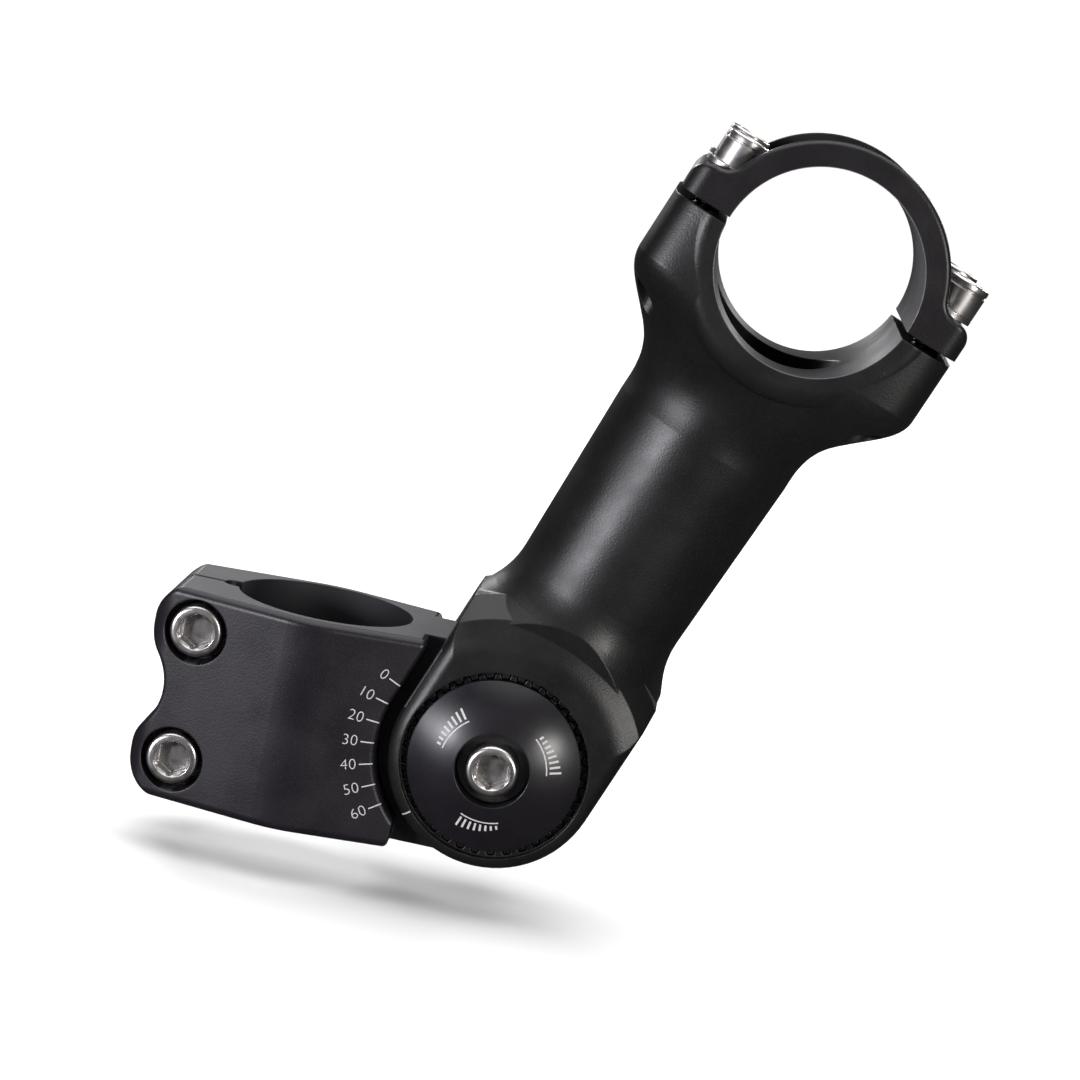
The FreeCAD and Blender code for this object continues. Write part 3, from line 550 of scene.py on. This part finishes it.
def numeral(text, size, angle, radius):
    """A number as a flat mesh whose baseline points at the pivot and which ends at a radius."""
    letter_spacing, stroke_thinning = 1.04, 0.016
    words = bpy.data.curves.new(f"numeral_{text}", "FONT")
    words.body = text
    words.size = size
    words.align_x = "RIGHT"
    words.align_y = "CENTER"
    words.space_character = letter_spacing
    words.offset = -stroke_thinning * size
    maker = bpy.data.objects.new(f"numeral_maker_{text}", words)
    mesh = bpy.data.meshes.new_from_object(maker)
    bpy.data.objects.remove(maker)
    bpy.data.curves.remove(words)
    reading = -(at_pivot(angle, 1, Vector()) - pivot)
    upwards = reading.cross(LEFT)
    turn = Matrix((reading, upwards, reading.cross(upwards))).transposed().to_4x4()
    mesh.transform(Matrix.Translation(at_pivot(angle, radius, RIGHT)) @ turn)
    return mesh


def tilt_scale():
    """The scale from 0 to 60 degrees on the right-hand side of the clamp."""
    surface = surface_of("steerer_clamp")
    zero_angle, last_mark, step = 152, 60, 10
    dash_inner, dash_outer, dash_width = 19.3 * MM, 21.4 * MM, 0.2 * MM
    number_size, number_end = 2.5 * MM, 21.8 * MM
    shape = bmesh.new()
    for mark in range(0, last_mark + 1, step):
        radial_dash(shape, zero_angle + mark, dash_inner, dash_outer, dash_width, RIGHT)
        words = numeral(str(mark), number_size, zero_angle + mark, number_end)
        shape.from_mesh(words)
        bpy.data.meshes.remove(words)
    printed(shape, "tilt_scale", surface, RIGHT, "clamp")


def index_line():
    """The line on the arm's ear that reads the scale."""
    angle, inner, outer, width = 221, 15.15 * MM, 16.9 * MM, 0.22 * MM
    shape = bmesh.new()
    radial_dash(shape, angle, inner, outer, width, RIGHT)
    printed(shape, "index_line", surface_of("arm"), RIGHT, "arm")


def tightening_marks(side, outward):
    """Three rising rows of bars round a lock disc, each over a thin arc."""
    first_row, between_rows = 27, 120
    bars, spacing, width = 8, 5.2, 0.34 * MM
    shortest, rise, foot = 0.5, 1.3, 9.0 * MM
    arc_inner, arc_outer, arc_steps = 8.45 * MM, 8.65 * MM, 12
    half = bars / 2 * spacing
    shape = bmesh.new()
    for row in range(first_row, 360, between_rows):
        for bar in range(bars):
            angle = row + (bar - (bars - 1) / 2) * spacing
            height = (shortest + rise * (bars - bar) / bars) * MM
            radial_dash(shape, angle, foot, foot + height, width, outward)
        for step in range(arc_steps):
            start = row - half + 2 * half * step / arc_steps
            end = row - half + 2 * half * (step + 1) / arc_steps
            corners = [at_pivot(start, arc_inner, outward), at_pivot(end, arc_inner, outward),
                       at_pivot(end, arc_outer, outward), at_pivot(start, arc_outer, outward)]
            strip(shape, corners, long_steps=2, cross_steps=1)
    printed(shape, f"tightening_marks_{side}", surface_of(f"lock_disc_{side}"), outward, f"disc_{side}")


# ---------------------------------------------------------------- studio

def look_from(azimuth, elevation, roll=0.0):
    """How a camera or lamp is turned at an azimuth and elevation, and which way it stands."""
    a, e = math.radians(azimuth), math.radians(elevation)
    back = Vector((math.sin(a) * math.cos(e), -math.cos(a) * math.cos(e), math.sin(e)))
    turn = (-back).to_track_quat("-Z", "Y").to_matrix().to_4x4()
    return turn @ Matrix.Rotation(math.radians(roll), 4, "Z"), back


def camera():
    """The photograph's viewpoint: from the right-hand side, a little above and slightly rolled."""
    aim, distance = Vector((0.03171, 0, 0.05171)), 0.52025
    azimuth, elevation, roll = 2.1506, 9.4078, 11.699
    data = bpy.data.cameras.new("camera")
    data.sensor_width = 36
    data.lens = 108.26
    data.clip_start, data.clip_end = 0.01, 50
    eye = bpy.data.objects.new("camera", data)
    bpy.context.scene.collection.objects.link(eye)
    turned, back = look_from(azimuth, elevation, roll)
    eye.matrix_world = Matrix.Translation(aim + back * distance) @ turned
    bpy.context.scene.camera = eye


def softbox(name, azimuth, elevation, size, power, colour=(1, 1, 1)):
    """A rectangular lamp that faces the stem's middle from a metre away."""
    middle, distance = (cad_box[0] + cad_box[1]) / 2, 1.0
    data = bpy.data.lights.new(name, "AREA")
    data.shape = "RECTANGLE"
    data.size, data.size_y = size
    data.energy = power
    data.color = colour
    lamp = bpy.data.objects.new(name, data)
    bpy.context.scene.collection.objects.link(lamp)
    turned, back = look_from(azimuth, elevation)
    lamp.matrix_world = Matrix.Translation(middle + back * distance) @ turned


def floor():
    """A wide pale floor, a little below the stem."""
    reach, drop = 6.0, 9 * MM
    mesh = bpy.data.meshes.new("floor")
    corners = [(-reach, -reach, -drop), (reach, -reach, -drop),
               (reach, reach, -drop), (-reach, reach, -drop)]
    mesh.from_pydata(corners, [], [(0, 1, 2, 3)])
    ground = bpy.data.objects.new("floor", mesh)
    bpy.context.scene.collection.objects.link(ground)
    material, _, _ = new_material("pale_floor", (0.86, 0.86, 0.86), 0.9, specular=0.1)
    mesh.materials.append(material)
    ground.visible_glossy = False


def sky():
    """White all round for the camera, and a dimmer even light for the stem."""
    on_stem, in_view = 0.035, 1.05
    world = bpy.data.worlds.new("studio")
    world.use_nodes = True
    tree = world.node_tree
    background = tree.nodes["Background"]
    seen = node(tree, "ShaderNodeLightPath").outputs["Is Camera Ray"]
    background.inputs["Color"].default_value = (1, 1, 1, 1)
    tree.links.new(between(tree, seen, 0, 1, on_stem, in_view), background.inputs["Strength"])
    bpy.context.scene.world = world


def even_daylight(strength, spread):
    """Light from straight above that falls evenly on the whole floor."""
    data = bpy.data.lights.new("daylight", "SUN")
    data.energy = strength
    data.angle = math.radians(spread)
    lamp = bpy.data.objects.new("daylight", data)
    bpy.context.scene.collection.objects.link(lamp)


finish_cad_nodes()
all_screws()
tilt_scale()
index_line()
for side, outward in (("right", RIGHT), ("left", LEFT)):
    tightening_marks(side, outward)
camera()
floor()
sky()
even_daylight(strength=3.75, spread=80)
softbox("left_far", azimuth=-57, elevation=6, size=(0.2, 0.2), power=3.2, colour=(0.95, 0.94, 1.0))
softbox("left_near", azimuth=-41, elevation=3, size=(0.2, 0.16), power=7.5, colour=(0.94, 0.93, 1.0))
softbox("right_side", azimuth=38, elevation=7, size=(0.22, 0.24), power=6, colour=(1.0, 0.98, 0.95))
softbox("behind_left", azimuth=150, elevation=22, size=(0.25, 0.2), power=3)
softbox("behind_right", azimuth=205, elevation=22, size=(0.25, 0.2), power=3)
bpy.context.scene.view_settings.view_transform = "Standard"
